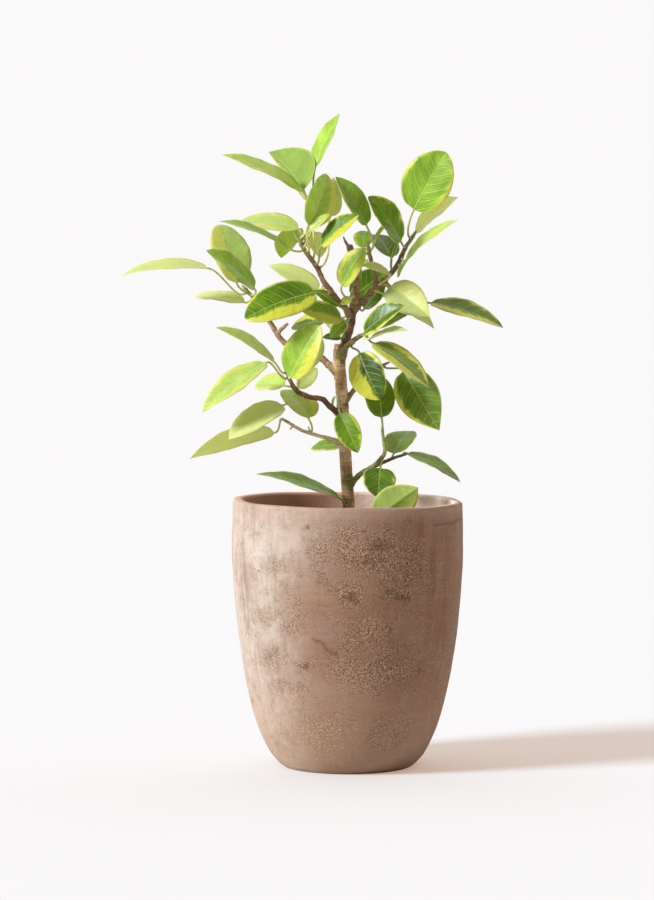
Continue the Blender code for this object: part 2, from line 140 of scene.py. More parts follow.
# For every branch: how tan its bark is, from 0 dark brown to 1 tan, its tint, from -1 green to 1
# pale, and the (x, y, height above the soil, radius) of points along its middle line.
BRANCHES = {
    "trunk": (1.0, 0.0, [
        (ROOT_X, 0, -ROOT_DEPTH, ROOT_RADIUS), (ROOT_X, 0, 12, ROOT_RADIUS), (1, 0, 35, 8.2),
        (-3, 0, 95, 7.9), (-7, 0, 168, 7.8), (-11, 0, 215, 8.2), (-10, 0, 241, 7.8),
    ]),
    "leader": (0.15, 0.0, [
        (-9, 0, 218, 6.0), (-3, -1, 245, 6.2), (4, 2, 268, 5.6), (6, 4, 286, 5.2), (11, 5, 305, 4.8),
        (10, 5, 324, 4.5), (6, 4, 350, 4.3), (2, 2, 370, 4.4),
    ]),
    "right_upper": (0.2, -0.1, [
        (5, 3, 280, 4.6), (18, 8, 296, 4.4), (30, 14, 306, 4.2), (40, 18, 318, 4.0), (55, 24, 331, 3.6),
        (66, 28, 345, 3.4), (75, 31, 365, 3.0), (83, 33, 377, 2.4),
    ]),
    "mid_right": (0.3, -0.2, [
        (36, 16, 314, 3.0), (36, 8, 330, 3.0), (31, 3, 346, 2.9), (27, 0, 364, 2.6),
    ]),
    "upper_left": (0.2, -0.1, [
        (4, 2, 272, 4.6), (-4, -6, 289, 4.2), (-14, -12, 299, 4.0), (-24, -19, 313, 3.7),
        (-32, -24, 324, 3.4), (-40, -27, 341, 3.2), (-55, -31, 362, 2.9), (-64, -33, 377, 2.3),
    ]),
    "long_left": (0.35, 0.0, [
        (-9, 1, 199, 6.2), (-24, 6, 213, 4.9), (-37, 12, 224, 4.3), (-60, 22, 233, 3.9),
        (-84, 29, 243, 3.6), (-101, 32, 268, 3.3), (-116, 31, 292, 3.0), (-131, 28, 309, 2.4),
    ]),
    "left": (0.05, 0.0, [
        (-6, 0, 146, 4.6), (-24, -8, 161, 3.8), (-33, -14, 170, 3.5), (-49, -20, 173, 3.2),
        (-65, -27, 180, 3.0), (-73, -31, 192, 2.8), (-79, -34, 206, 2.2),
    ]),
    "pale_twig": (0.9, 0.85, [
        (-4, 0, 104, 3.6), (-20, -6, 117, 2.7), (-37, -12, 122, 2.5), (-60, -20, 130, 2.3),
        (-78, -27, 141, 2.1), (-86, -30, 146, 1.7),
    ]),
    "right_twig": (0.3, 0.0, [
        (-6, 0, 162, 4.2), (8, 5, 181, 3.2), (22, 9, 197, 2.8), (38, 10, 210, 2.5), (47, 9, 214, 2.0),
    ]),
    "front_shoot": (0.4, -0.5, [
        (-10, -1, 224, 4.6), (-3, -12, 237, 3.9), (8, -22, 247, 3.4), (17, -29, 253, 2.9),
        (25, -34, 257, 2.3),
    ]),
    "back_shoot": (0.3, -0.3, [
        (9, 4, 294, 4.2), (10, 20, 304, 3.5), (12, 38, 316, 3.0), (16, 56, 333, 2.3),
    ]),
    "lower_right": (0.5, -0.65, [
        (0, 0, 52, 4.4), (15, -7, 71, 3.5), (32, -14, 82, 3.2), (43, -20, 93, 2.9), (48, -24, 103, 2.6),
        (45, -28, 126, 2.0),
    ]),
    "side_twig": (0.1, 0.0, [
        (30, -13, 81, 2.9), (49, -13, 89, 2.4), (62, -9, 94, 2.1), (73, -5, 97, 1.7),
    ]),
}
# Short spurs, stubs and branch scars, written like the branches.
SPURS = {
    "thorn": (0.25, -0.6, [(-1, -8, 64, 1.6), (6, -11, 67, 1.2), (13, -13, 73, 0.7)]),
    "top_stub": (0.1, 0.0, [(2, 2, 366, 2.6), (-3, 0, 374, 1.7), (-6, -1, 381, 0.9)]),
    "left_knob": (0.35, 0.0, [(-92, 30, 254, 3.0), (-84, 27, 262, 2.5), (-78, 26, 267, 1.9)]),
    "scar_1": (0.7, 0.0, [(-8, -5, 188, 3.2), (-9, -9, 190, 2.6)]),
    "scar_2": (0.7, 0.0, [(1, -4, 120, 2.8), (3, -9, 121, 2.1)]),
    "scar_3": (0.7, 0.0, [(-5, -4, 80, 2.8), (-7, -9, 81, 2.0)]),
    "crown_1": (0.3, 0.0, [(-5, -4, 230, 4.0), (-2, -9, 236, 2.8)]),
    "crown_2": (0.2, 0.0, [(2, -3, 240, 3.6), (8, -8, 244, 2.4)]),
    "spur_1": (0.9, 0.85, [(-48, -16, 126, 1.8), (-52, -14, 135, 0.9)]),
    "spur_2": (0.9, 0.85, [(-70, -24, 137, 1.5), (-75, -28, 131, 0.8)]),
}
# What ends in a cut, with no bud.
CUT_ENDS = ("trunk", "leader", "pale_twig", *SPURS)

# Leaves
# Each leaf's shape: branch, share of the way along it, blade base, blade tip, width, tilt, arch, fold.
# Then its colours: its tone from deep green 0 to lime 1, how far it is painted paler for the bright light on
# it, as painted light, and where the lime margin starts on its first half (the upper or left one) and on its
# second, as shares of the half-width.
LEAVES = [
    ("upper_left", 0.93, (-42, -8, 471), (-11, 10, 540), 36, 5, 0.04, 10, 0.8, 0.05, 1.6, 1.6),
    ("upper_left", 1.0, (-59, -44, 439), (-161, -62, 486), 44, 25, 0.05, 8, 0.95, 0.08, 1.5, 0.7),
    ("upper_left", 0.97, (-57, -30, 440), (-103, 50, 491), 72, -90, 0.05, 34, 0.54, 0.12, 1.1, 0.5),
    ("upper_left", 0.96, (-64, -24, 390), (-140, -4, 401), 42, 30, 0.05, 8, 0.85, 0.6, 0.7, 0.5),
    ("upper_left", 0.88, (-77, -48, 366), (-164, -74, 401), 42, 18, 0.05, 8, 0.72, 0.2, 1.0, 0.9),
    ("upper_left", 0.9, (-51, -60, 395), (-27, -36, 461), 50, 85, 0.06, 14, 0.8, 0.22, 1.0, 0.55),
    ("upper_left", 0.7, (-23, -26, 408), (-19, -2, 457), 34, 70, 0.05, 14, 1.0, 1.0, 0.1, 0.05),
    ("upper_left", 0.74, (-34, -60, 369), (14, -76, 409), 36, 50, 0.06, 10, 0.35, 0.0, 0.9, 0.2),
    ("mid_right", 1.0, (24, -6, 395), (-16, -10, 458), 38, 52, 0.05, 16, 0.56, 0.12, 1.2, 0.95),
    ("right_upper", 0.86, (69, 6, 374), (26, -18, 432), 50, 62, 0.05, 12, 0.45, 0.0, 0.9, 1.1),
    ("right_upper", 1.0, (86, 20, 415), (127, 8, 490), 68, 88, 0.04, 8, 0.67, 0.05, 0.95, 0.85),
    ("right_upper", 0.97, (88, 42, 386), (145, 66, 432), 50, -38, 0.04, 8, 1.0, 1.0, 0.9, 0.6),
    ("right_upper", 0.76, (75, 14, 348), (141, -6, 402), 40, 26, 0.05, 10, 0.9, 0.32, 0.9, 0.4),
    ("right_upper", 0.64, (57, 46, 353), (37, 90, 383), 38, 0, 0.05, 10, 0.25, 0.0, 1.1, 1.1),
    ("right_upper", 0.7, (66, 4, 330), (84, -6, 358), 24, 20, 0.05, 14, 0.75, 0.1, 1.2, 1.2),
    ("long_left", 1.0, (-181, 18, 339), (-293, 2, 331), 38, 20, 0.07, 10, 0.9, 0.75, 0.6, 0.5),
    ("long_left", 0.92, (-135, 44, 294), (-203, 66, 301), 36, 20, 0.05, 8, 1.0, 1.0, 0.4, 0.3),
    ("long_left", 0.97, (-145, 38, 319), (-168, 96, 396), 54, 0, 0.05, 10, 0.62, 0.4, 0.05, 1.0),
    ("long_left", 0.95, (-121, 8, 312), (-183, -12, 363), 50, 38, 0.05, 10, 0.76, 0.08, 0.95, 0.85),
    ("upper_left", 0.4, (-42, -42, 309), (-132, -72, 276), 54, 54, 0.08, 10, 0.42, 0.0, 1.0, 0.38),
    ("left", 1.0, (-94, -38, 218), (-170, -58, 265), 44, 23, 0.05, 10, 1.0, 0.45, 0.9, 0.55),
    ("left", 0.92, (-105, -48, 219), (-187, -88, 157), 46, 22, 0.05, 8, 0.86, 0.42, 0.75, 0.7),
    ("upper_left", 0.82, (-66, -16, 391), (-87, 34, 353), 36, 0, 0.05, 10, 1.0, 0.08, 1.1, 1.1),
    ("upper_left", 0.78, (-44, -4, 387), (-36, 32, 353), 28, 0, 0.05, 10, 1.0, 1.0, 0.6, 0.3),
    ("upper_left", 0.5, (-38, 6, 311), (-103, 30, 343), 36, 30, 0.05, 10, 1.0, 1.0, 0.4, 0.4),
    ("leader", 0.3, (-8, -20, 274), (-62, -40, 288), 38, 48, 0.05, 8, 0.5, 0.1, 0.85, 0.15),
    ("leader", 0.22, (-8, 16, 250), (-45, 40, 285), 32, -55, 0.05, 12, 1.0, 1.0, 0.9, 0.7),
    ("leader", 0.36, (-30, 52, 268), (-74, 78, 260), 34, 40, 0.05, 12, 0.2, 0.05, 0.35, 1.2),
    ("left", 0.97, (-74, -52, 200), (-36, -66, 267), 54, 75, 0.05, 10, 0.8, 0.08, 0.95, 0.38),
    ("left", 0.72, (-62, -32, 210), (-34, -18, 250), 32, 65, 0.05, 12, 0.9, 0.85, 0.9, 1.1),
    ("left", 0.6, (-64, -14, 184), (-40, 2, 210), 22, 50, 0.05, 12, 1.0, 1.0, 0.6, 0.6),
    ("left", 0.78, (-82, -22, 188), (-120, 12, 188), 34, 40, 0.05, 12, 0.88, 0.45, 0.7, 0.7),
    ("pale_twig", 0.5, (-51, -30, 146), (-80, 14, 181), 50, 0, 0.05, 10, 1.0, 0.35, 0.8, 0.55),
    ("left", 0.55, (-83, -46, 164), (-153, -76, 122), 46, 30, 0.05, 10, 0.98, 1.0, 0.9, 0.6),
    ("pale_twig", 1.0, (-94, -38, 128), (-205, -46, 95), 54, -32, 0.05, 8, 1.0, 1.0, 0.8, 0.25),
    ("trunk", 0.57, (-6, 26, 107), (-48, 48, 102), 30, 34, 0.05, 10, 0.48, 0.0, 0.8, 0.8),
    ("trunk", 0.72, (-10, -20, 152), (13, -40, 102), 33, 50, 0.05, 12, 0.48, 0.0, 0.95, 0.85),
    ("leader", 0.5, (-8, -22, 317), (23, -32, 366), 38, 64, 0.05, 12, 0.8, 0.12, 0.5, 0.45),
    ("mid_right", 0.9, (20, 4, 366), (20, 34, 388), 26, 0, 0.05, 10, 0.78, 0.0, 0.7, 0.9),
    ("mid_right", 0.96, (36, 12, 376), (54, 20, 398), 22, -30, 0.05, 12, 1.0, 0.05, 0.9, 0.9),
    ("right_upper", 0.42, (54, -4, 332), (20, -26, 343), 22, 40, 0.05, 12, 1.0, 0.85, 0.1, 0.1),
    ("back_shoot", 0.95, (6, 74, 300), (52, 106, 332), 42, 50, 0.05, 10, 0.3, 0.0, 1.1, 1.1),
    ("front_shoot", 1.0, (21, -50, 257), (71, -74, 293), 38, 55, 0.05, 14, 0.24, 0.0, 0.9, 0.7),
    ("right_upper", 0.45, (53, -12, 315), (105, -58, 278), 46, 52, 0.06, 10, 0.4, 0.82, 0.02, 1.1),
    ("right_upper", 0.34, (44, -2, 307), (112, -12, 262), 38, 25, 0.06, 10, 1.0, 0.9, 0.4, 0.6),
    ("front_shoot", 0.72, (32, -14, 261), (81, -4, 283), 32, 30, 0.05, 12, 0.0, 0.0, 1.1, 1.1),
    ("front_shoot", 0.92, (28, -54, 250), (75, -82, 262), 26, 20, 0.05, 12, 1.0, 0.95, 0.2, 0.2),
    ("right_upper", 0.5, (107, 18, 294), (202, -4, 263), 46, 24, 0.06, 8, 0.28, 0.05, 0.85, 0.3),
    ("front_shoot", 0.97, (32, -46, 244), (103, -84, 189), 42, 22, 0.06, 10, 0.24, 0.22, 0.35, 0.62),
    ("right_twig", 1.0, (72, -8, 207), (118, -44, 131), 57, 62, 0.05, 10, 0.36, 0.05, 1.1, 0.8),
    ("front_shoot", 0.4, (15, -42, 231), (41, -62, 172), 50, 75, 0.05, 10, 0.06, 0.0, 0.88, 0.26),
    ("lower_right", 1.0, (44, -18, 146), (38, 8, 201), 40, 8, 0.05, 10, 0.38, 0.0, 1.1, 1.1),
    ("side_twig", 1.0, (77, -4, 99), (146, -20, 63), 36, 15, 0.05, 10, 0.32, 0.12, 1.0, 1.1),
    ("side_twig", 0.6, (60, 2, 98), (80, 50, 125), 44, 0, 0.05, 10, 0.62, 0.1, 1.1, 1.1),
    ("lower_right", 0.6, (42, -26, 81), (38, -54, 46), 44, 10, 0.05, 10, 0.3, 0.0, 1.0, 0.9),
    ("trunk", 0.27, (34, -50, 16), (90, -86, 61), 48, -62, 0.05, 8, 0.8, 0.4, 0.95, 0.62),
    ("trunk", 0.29, (-10, -30, 42), (-118, -52, 76), 40, 20, 0.05, 8, 0.54, 0.04, 1.1, 1.0),
]
# Small new leaves, written in the same way.
YOUNG_LEAVES = [
    ("upper_left", 0.45, (-58, 25, 315), (-79, 32, 340), 16, 40, 0.05, 12, 0.9, 0.2, 0.5, 0.5),
    ("leader", 0.42, (-12, -14, 291), (-46, -22, 311), 20, 50, 0.05, 10, 0.5, 0.0, 0.9, 0.9),
    ("leader", 0.33, (-3, -14, 270), (-23, -20, 250), 18, 60, 0.05, 10, 0.6, 0.1, 0.9, 0.9),
    ("leader", 0.2, (-9, -12, 249), (-33, -18, 250), 14, 40, 0.05, 10, 0.2, 0.0, 1.1, 1.1),
    ("back_shoot", 0.5, (22, 60, 285), (49, 70, 318), 24, 50, 0.05, 10, 0.2, 0.0, 1.1, 1.1),
    ("leader", 0.55, (4, -10, 301), (-9, -14, 293), 12, 60, 0.05, 10, 0.9, 0.1, 0.4, 0.4),
    ("upper_left", 0.85, (-49, -62, 389), (-23, -66, 410), 14, 60, 0.05, 10, 0.9, 0.1, 0.5, 0.5),
    ("right_upper", 0.62, (57, 8, 353), (65, 4, 376), 12, 75, 0.05, 14, 0.2, 0.0, 1.0, 1.0),
    ("leader", 0.75, (14, -6, 341), (27, -8, 350), 12, 50, 0.05, 12, 0.9, 0.1, 0.5, 0.5),
    ("trunk", 0.62, (-20, -6, 161), (-16, -10, 174), 8, 60, 0.05, 12, 0.5, 0.0, 0.9, 0.9),
]
# Leaves, by number, whose lime margin starts further out at the tip than at the base, and how much.
MARGIN_DRIFT = {51: 0.4}
# Leaves whose tips are blunter or sharper than their proportions would make them.
BLUNT_LEAVES = (11, 18, 20, 33, 51, 54)
POINTED_LEAVES = (3, 12, 27, 35, 44, 50, 56)
# A blade's greens, by tone.
LEAF_GREENS = [
    (0.00, (0.044, 0.088, 0.009)),
    (0.30, (0.108, 0.200, 0.013)),
    (0.60, (0.220, 0.415, 0.018)),
    (0.85, (0.390, 0.620, 0.040)),
    (1.00, (0.560, 0.740, 0.100)),
]
LEAF_FIELDS = ("along", "side", "vein", "reach", "margin", "tone", "painted_glare", "seed")
LIGHT_THROUGH = 0.42
WIDEST = 0.45
STALK_RADIUS = 1.35
STALK_RINGS = 12
BLADE_RINGS = 46
ACROSS = 15
SIDE_VEINS = 7
QUILT = 0.16
TIP_DROOP = 0.25


def rgb(red, green, blue):
    """A linear colour from everyday 0 to 255 values."""
    shares = [value / 255 for value in (red, green, blue)]
    return [s / 12.92 if s <= 0.04045 else ((s + 0.055) / 1.055) ** 2.4 for s in shares]


def smoothstep(low, high, value):
    share = np.clip((value - low) / (high - low), 0, 1)
    return share * share * (3 - 2 * share)


def bend(start, start_way, end, end_way, t):
    """A point at t on the smooth curve between two ends, given the way it leaves each."""
    return (
        start * (2 * t**3 - 3 * t**2 + 1)
        + start_way * (t**3 - 2 * t**2 + t)
        + end * (3 * t**2 - 2 * t**3)
        + end_way * (t**3 - t**2)
    )


# ---- materials


class Value:
    """A node's output. Sums and products of values make Math nodes."""

    def __init__(self, nodes, socket):
        self.nodes = nodes
        self.socket = socket

    def __add__(self, other):
        return self.nodes.maths("ADD", self, other)

    def __sub__(self, other):
        return self.nodes.maths("SUBTRACT", self, other)

    def __rsub__(self, other):
        return self.nodes.maths("SUBTRACT", other, self)

    def __mul__(self, other):
        return self.nodes.maths("MULTIPLY", self, other)


class Nodes:
    """The node tree of a material or a world, written as sums, products and nested calls."""

    def __init__(self, owner):
        owner.use_nodes = True
        self.owner = owner
        self.tree = owner.node_tree
        self.tree.nodes.clear()

    def feed(self, socket, value):
        if isinstance(value, Value):
            self.tree.links.new(value.socket, socket)
        elif socket.type == "RGBA":
            socket.default_value = (*value, 1.0)
        else:
            socket.default_value = value

    def node(self, kind, inputs=(), output=0, **settings):
        """An output of a new node, whose inputs are given by name or by place."""
        made = self.tree.nodes.new("ShaderNode" + kind)
        for key, value in settings.items():
            setattr(made, key, value)
        for key, value in dict(inputs).items():
            self.feed(made.inputs[key], value)
        return Value(self, made.outputs[output])

    def attributes(self, names):
        return [self.node("Attribute", output="Fac", attribute_name=name) for name in names]

    def place(self):
        return self.node("TexCoord", output="Object")

    def maths(self, operation, first, second=0.0):
        return self.node("Math", {0: first, 1: second}, operation=operation)

    def stretch(self, place, scale):
        return self.node("Mapping", {"Vector": place, "Scale": scale})

    def noise(self, place, scale, detail, rough, distortion=0.0):
        inputs = {
            "Vector": place, "Scale": scale, "Detail": detail, "Roughness": rough, "Distortion": distortion
        }
        return self.node("TexNoise", inputs, "Fac")

    def cells(self, place, scale):
        return self.node("TexVoronoi", {"Vector": place, "Scale": scale}, "Distance")

    def step(self, value, low, high, start=0.0, end=1.0):
        """start below low, end above high, and smooth between them."""
        inputs = {"Value": value, "From Min": low, "From Max": high, "To Min": start, "To Max": end}
        return self.node("MapRange", inputs, "Result", interpolation_type="SMOOTHSTEP")

    def mix(self, share, first, second):
        return self.node("Mix", {0: share, 6: first, 7: second}, 2, data_type="RGBA")

    def coats(self, colour, *coats):
        """The colour under coats of (share, colour), the last one on top."""
        for share, coat in coats:
            colour = self.mix(share, colour, coat)
        return colour

    def ramp(self, value, stops):
        """A colour that runs through the stops as value goes from 0 to 1."""
        made = self.node("ValToRGB", {"Fac": value})
        elements = made.socket.node.color_ramp.elements
        while len(elements) < len(stops):
            elements.new(1.0)
        for element, (position, colour) in zip(elements, stops):
            element.position = position
            element.color = (*colour, 1.0)
        return made

    def bump(self, height, strength, distance):
        return self.node("Bump", {"Height": height, "Strength": strength, "Distance": distance})

    def principled(self, colour, roughness, normal, specular=0.5):
        inputs = {
            "Base Color": colour, "Roughness": roughness, "Normal": normal, "Specular IOR Level": specular
        }
        return self.node("BsdfPrincipled", inputs)

    def finish(self, shader, output="OutputMaterial"):
        self.feed(self.tree.nodes.new("ShaderNode" + output).inputs["Surface"], shader)
        return self.owner


def new_material(name):
    return Nodes(bpy.data.materials.new(name))


def leaf_skin(name, upper):
    """The blade's surface: a green middle with darker and lighter flames, lime margins that follow
    the side veins, a pale midrib and thin side veins. The underside is duller and paler."""
    n = new_material(name)
    along, side, vein, reach, margin, tone, painted_glare, seed = n.attributes(LEAF_FIELDS)
    breadth = n.maths("ABSOLUTE", side)
    streak_place = n.node("CombineXYZ", {"X": vein * 9.0, "Y": side * 1.5, "Z": seed * 9.0})
    streaks = n.noise(streak_place, 1.0, 3.0, 0.6)
    flames = n.noise(n.stretch(streak_place, (0.62, 0.8, 1.7)), 1.0, 2.0, 0.55)
    mottle = n.noise(streak_place, 6.0, 3.0, 0.6)
    fine = n.noise(n.place(), 900.0, 2.0, 0.5)
    ladder = n.maths("PINGPONG", vein * SIDE_VEINS, 0.5)

    # The ladder term is painted shade and light: a little darker by the side veins and lighter between them.
    shade = tone + (flames - 0.5) * 0.75 + (mottle - 0.5) * 0.40 + (ladder - 0.25) * 0.12
    lime = n.mix(n.step(mottle, 0.3, 0.7), rgb(212, 212, 52), rgb(232, 228, 96))
    past_margin = breadth + (streaks - 0.5) * 0.60 + (flames - 0.5) * 0.60 - margin
    side_veins = n.step(ladder, 0.014, 0.058, 1.0, 0.0) * n.step(breadth, 0.70, 0.95, 1.0, 0.0)
    midrib = n.step(reach - (1.25 - along) * 0.62, -0.25, 0.35, 1.0, 0.0)
    vein_colour = n.mix(tone, rgb(160, 180, 96), rgb(222, 230, 150))
    colour = n.coats(
        n.ramp(shade, LEAF_GREENS),
        (n.step(past_margin, -0.14, -0.05, 0.0, 0.35), lime),
        (n.step(past_margin, -0.025, 0.025), lime),
        (side_veins * 0.66, vein_colour),
        (midrib * 0.85, vein_colour),
        # A painted highlight: a thin pale line along the very edge, for the glow of the margins in the light.
        (n.step(breadth, 0.89, 0.965, 0.0, 0.75), rgb(226, 228, 136)),
        (0.0 if upper else 0.40, rgb(158, 178, 88)),
        # Painted light: each leaf is turned towards pale green by its own share, standing for the bright
        # light on it.
        (painted_glare * 0.85, rgb(226, 230, 164)),
        (n.step(fine, 0.3, 0.8, 0.0, 0.10), rgb(40, 60, 18)),
    )

    relief = side_veins * (-0.6 if upper else 0.8) + fine * 0.4 + mottle * 0.4 + ladder * 1.4
    normal = n.bump(relief, 0.40, 0.0006)
    smooth, rough = (0.26, 0.36) if upper else (0.55, 0.68)
    roughness = n.step(mottle, 0.3, 0.7, smooth, rough)
    body = n.principled(colour, roughness, normal, 0.42 if upper else 0.22)
    glow = n.mix(0.40, colour, rgb(206, 226, 50))
    through = n.node("BsdfTranslucent", {"Color": glow, "Normal": normal})
    return n.finish(n.node("MixShader", {0: LIGHT_THROUGH, 1: body, 2: through}))


def stalk_skin():
    n = new_material("leaf_stalk")
    (tone,) = n.attributes(["tone"])
    grain = n.noise(n.stretch(n.place(), (1.0, 1.0, 0.4)), 420.0, 3.0, 0.6)
    freckles = n.cells(n.place(), 900.0)
    colour = n.coats(
        n.mix(tone, rgb(92, 112, 48), rgb(204, 206, 120)),
        (n.step(grain, 0.35, 0.7, 0.0, 0.35), rgb(128, 104, 48)),
        (n.step(freckles, 0.10, 0.3, 0.35, 0.0), rgb(94, 70, 38)),
    )
    return n.finish(n.principled(colour, n.step(grain, 0.3, 0.7, 0.42, 0.56), n.bump(grain, 0.3, 0.0004)))


def bark_skin():
    """Tan bark on the trunk, darker brown on the leader and the twigs, with pores and node rings."""
    n = new_material("bark")
    place = n.place()
    age, tint, ring = n.attributes(["age", "tint", "ring"])
    fibre = n.noise(n.stretch(place, (1.0, 1.0, 0.18)), 520.0, 4.0, 0.65)
    patches = n.noise(place, 60.0, 4.0, 0.6)
    pores = n.cells(n.stretch(place, (1.0, 1.0, 0.55)), 420.0)
    blotch = n.step(patches, 0.4, 0.6)
    tan = n.mix(n.step(patches, 0.38, 0.62), rgb(168, 128, 88), rgb(214, 184, 142))
    tan = n.mix(n.step(fibre, 0.42, 0.68, 0.0, 0.55), tan, rgb(112, 78, 50))
    brown = n.mix(blotch, rgb(84, 58, 38), rgb(132, 98, 62))
    brown = n.mix(n.step(fibre, 0.42, 0.68, 0.0, 0.5), brown, rgb(58, 40, 28))
    colour = n.coats(
        n.mix(age, brown, tan),
        (n.step(tint, 0.05, 0.95), n.mix(blotch, rgb(196, 174, 134), rgb(214, 200, 158))),
        (n.step(tint, -0.95, -0.05, 1.0, 0.0), n.mix(blotch, rgb(112, 122, 62), rgb(150, 152, 84))),
        (n.step(pores, 0.10, 0.30, 0.5, 0.0), rgb(206, 184, 148)),
        (ring * 0.55, rgb(70, 48, 34)),
    )
    relief = fibre + n.step(pores, 0.1, 0.35, 1.0, 0.0) * 0.8 + patches * 0.8
    normal = n.bump(relief, 0.55, 0.0009)
    return n.finish(n.principled(colour, n.step(fibre, 0.3, 0.7, 0.66, 0.86), normal))


def clay_skin():
    """Dusty hand-finished terracotta with crumbled, speckled patches, rust spots, grey-mauve bloom and brown
    runs, on clay painted paler where the light falls. The patches come from attributes, broken up by noise."""
    n = new_material("clay")
    place = n.place()
    worn, rust, bloom, runs, crack, pale, height, inside = n.attributes(CLAY_FIELDS)
    clouds = n.step(n.noise(place, 13.0, 4.0, 0.55), 0.34, 0.66)
    blots = n.noise(place, 42.0, 4.0, 0.62, 0.4)
    brushed = n.noise(n.stretch(place, (1.0, 1.0, 0.10)), 95.0, 4.0, 0.6)
    turned = n.noise(n.stretch(place, (0.10, 0.10, 1.0)), 150.0, 4.0, 0.6)
    dust = n.noise(place, 700.0, 3.0, 0.7)
    grains = n.noise(place, 540.0, 2.0, 0.6)
    crumbs = n.cells(place, 260.0)

    brown = n.mix(clouds, rgb(132, 95, 71), rgb(144, 112, 91))
    painted_lit_clay = n.mix(clouds, rgb(180, 161, 147), rgb(190, 175, 163))
    painted_lit_mask = n.step(pale + (brushed - 0.5) * 0.7, 0.0, 1.0)
    edge = (n.noise(place, 46.0, 8.0, 0.86) - 0.5) * 4.4
    worn_here = n.step(worn + 0.34 + edge, 0.10, 1.25)
    rust_here = n.step(rust + edge, 0.30, 1.10)
    speckle = n.step(grains, 0.465, 0.535)
    crumbled = n.mix(speckle, rgb(80, 48, 32), rgb(180, 148, 118))
    rusty = n.mix(n.step(crumbs, 0.2, 0.55), rgb(126, 76, 48), rgb(78, 46, 28))
    pits = n.step(n.cells(place, 110.0), 0.035, 0.085, 1.0, 0.0) * n.step(blots, 0.42, 0.55)
    # The inner wall's colour follows painted light: darker on its left and pale on its right, where the light
    # falls.
    inner = n.mix(pale, rgb(186, 138, 120), rgb(240, 218, 204))
    colour = n.coats(
        # Painted light: paler clay where the light falls, on the left and below the rim, and plain brown clay
        # elsewhere; the warm blots and the wear are fainter on the paler part.
        n.mix(painted_lit_mask, brown, painted_lit_clay),
        # Warm blots, turning lines, brush marks, bloom and runs.
        (n.step(blots, 0.36, 0.68, 0.0, 0.30) * (1.0 - pale * 0.7), rgb(146, 108, 80)),
        (n.step(turned, 0.45, 0.75, 0.0, 0.22), rgb(176, 152, 136)),
        (n.step(brushed, 0.46, 0.72, 0.0, 0.42), rgb(120, 84, 62)),
        (n.step(bloom + (blots - 0.5) * 1.4, 0.2, 0.9) * 0.45, rgb(146, 119, 109)),
        (runs * n.step(brushed, 0.40, 0.60) * 0.8, rgb(112, 66, 44)),
        # Wear.
        (worn_here * (0.85 - pale * 0.30), crumbled),
        (rust_here * 0.60, rusty),
        (pits * 0.55, rgb(84, 54, 36)),
        # The foot, paler towards the bottom, the lip, and the inner wall, with painted light: paler on its
        # right, where the light falls.
        (n.step(height, 0.03, 0.48, 0.50, 0.0), rgb(170, 138, 114)),
        (n.step(height, 0.94, 0.985, 0.0, 0.40), rgb(176, 148, 132)),
        (inside * 0.9, inner),
        # Fine dark dust, and the cracks.
        (n.step(dust, 0.3, 0.75, 0.0, 0.22), rgb(96, 68, 50)),
        (crack * 0.75, rgb(56, 36, 25)),
    )
    relief = speckle * worn_here * -0.9 - rust_here * 0.5 - pits * 1.1 + dust * 0.5 + turned * 0.5
    normal = n.bump(relief, 0.55, 0.0012)
    return n.finish(n.principled(colour, n.step(blots, 0.3, 0.7, 0.82, 0.96), normal))


def earth_skin(name, dark, light):
    n = new_material(name)
    place = n.place()
    lumps = n.noise(place, 160.0, 4.0, 0.65)
    crumbs = n.cells(place, 420.0)
    colour = n.mix(n.step(lumps, 0.35, 0.65), dark, light)
    colour = n.mix(n.step(crumbs, 0.05, 0.3, 0.5, 0.0), colour, light)
    normal = n.bump(lumps + crumbs * 0.8, 0.8, 0.0015)
    return n.finish(n.principled(colour, n.step(lumps, 0.3, 0.7, 0.85, 0.98), normal))


# ---- meshes


def add_object(name, data):
    made = bpy.data.objects.new(name, data)
    bpy.context.scene.collection.objects.link(made)
    return made


def add_piece(name, points, faces, replaced=(), smooth=True):
    mesh = bpy.data.meshes.new(name)
    mesh.from_pydata([tuple(p) for p in np.asarray(points) * MM], [], faces)
    mesh.validate()
    mesh.polygons.foreach_set("use_smooth", [smooth] * len(mesh.polygons))
    piece = add_object(name, mesh)
    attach(piece, "root")
    if replaced:
        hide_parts(*replaced)
    return piece


def paint(piece, *materials):
    piece.data.materials.clear()
    for material in materials:
        piece.data.materials.append(material)


def set_attribute(mesh, name, values):
    made = mesh.attributes.new(name, "FLOAT", "POINT")
    made.data.foreach_set("value", np.asarray(values, np.float32))


def mesh_from(shape, name):
    mesh = bpy.data.meshes.new(name)
    shape.to_mesh(mesh)
    shape.free()
    return mesh


def mesh_points(mesh):
    points = np.empty(len(mesh.vertices) * 3)
    mesh.vertices.foreach_get("co", points)
    return points.reshape(-1, 3) / MM


def move_points(mesh, points):
    mesh.vertices.foreach_set("co", (points * MM).ravel())
    mesh.update()


def noise_at(points, scale, shift=(0, 0, 0)):
    """Smooth noise at each point, from about -1 to 1."""
    return np.array([noise.noise(Vector(p) * Vector(scale) + Vector(shift)) for p in points])


def apply_modifiers(piece):
    graph = bpy.context.evaluated_depsgraph_get()
    made = bpy.data.meshes.new_from_object(piece.evaluated_get(graph))
    piece.modifiers.clear()
    piece.data = made
    made.polygons.foreach_set("use_smooth", [True] * len(made.polygons))


def ring_quads(rings, sides, flipped=False):
    """The quads between rings of points, one ring after another."""
    quads = []
    for i in range(rings - 1):
        for k in range(sides):
            a, b = i * sides + k, i * sides + (k + 1) % sides
            quads.append((a, a + sides, b + sides, b) if flipped else (a, b, b + sides, a + sides))
    return quads


def join(points, faces, more_points, more_faces):
    """Adds a shape's points and faces to those of the shapes before it."""
    faces += [tuple(len(points) + k for k in face) for face in more_faces]
    points += more_points


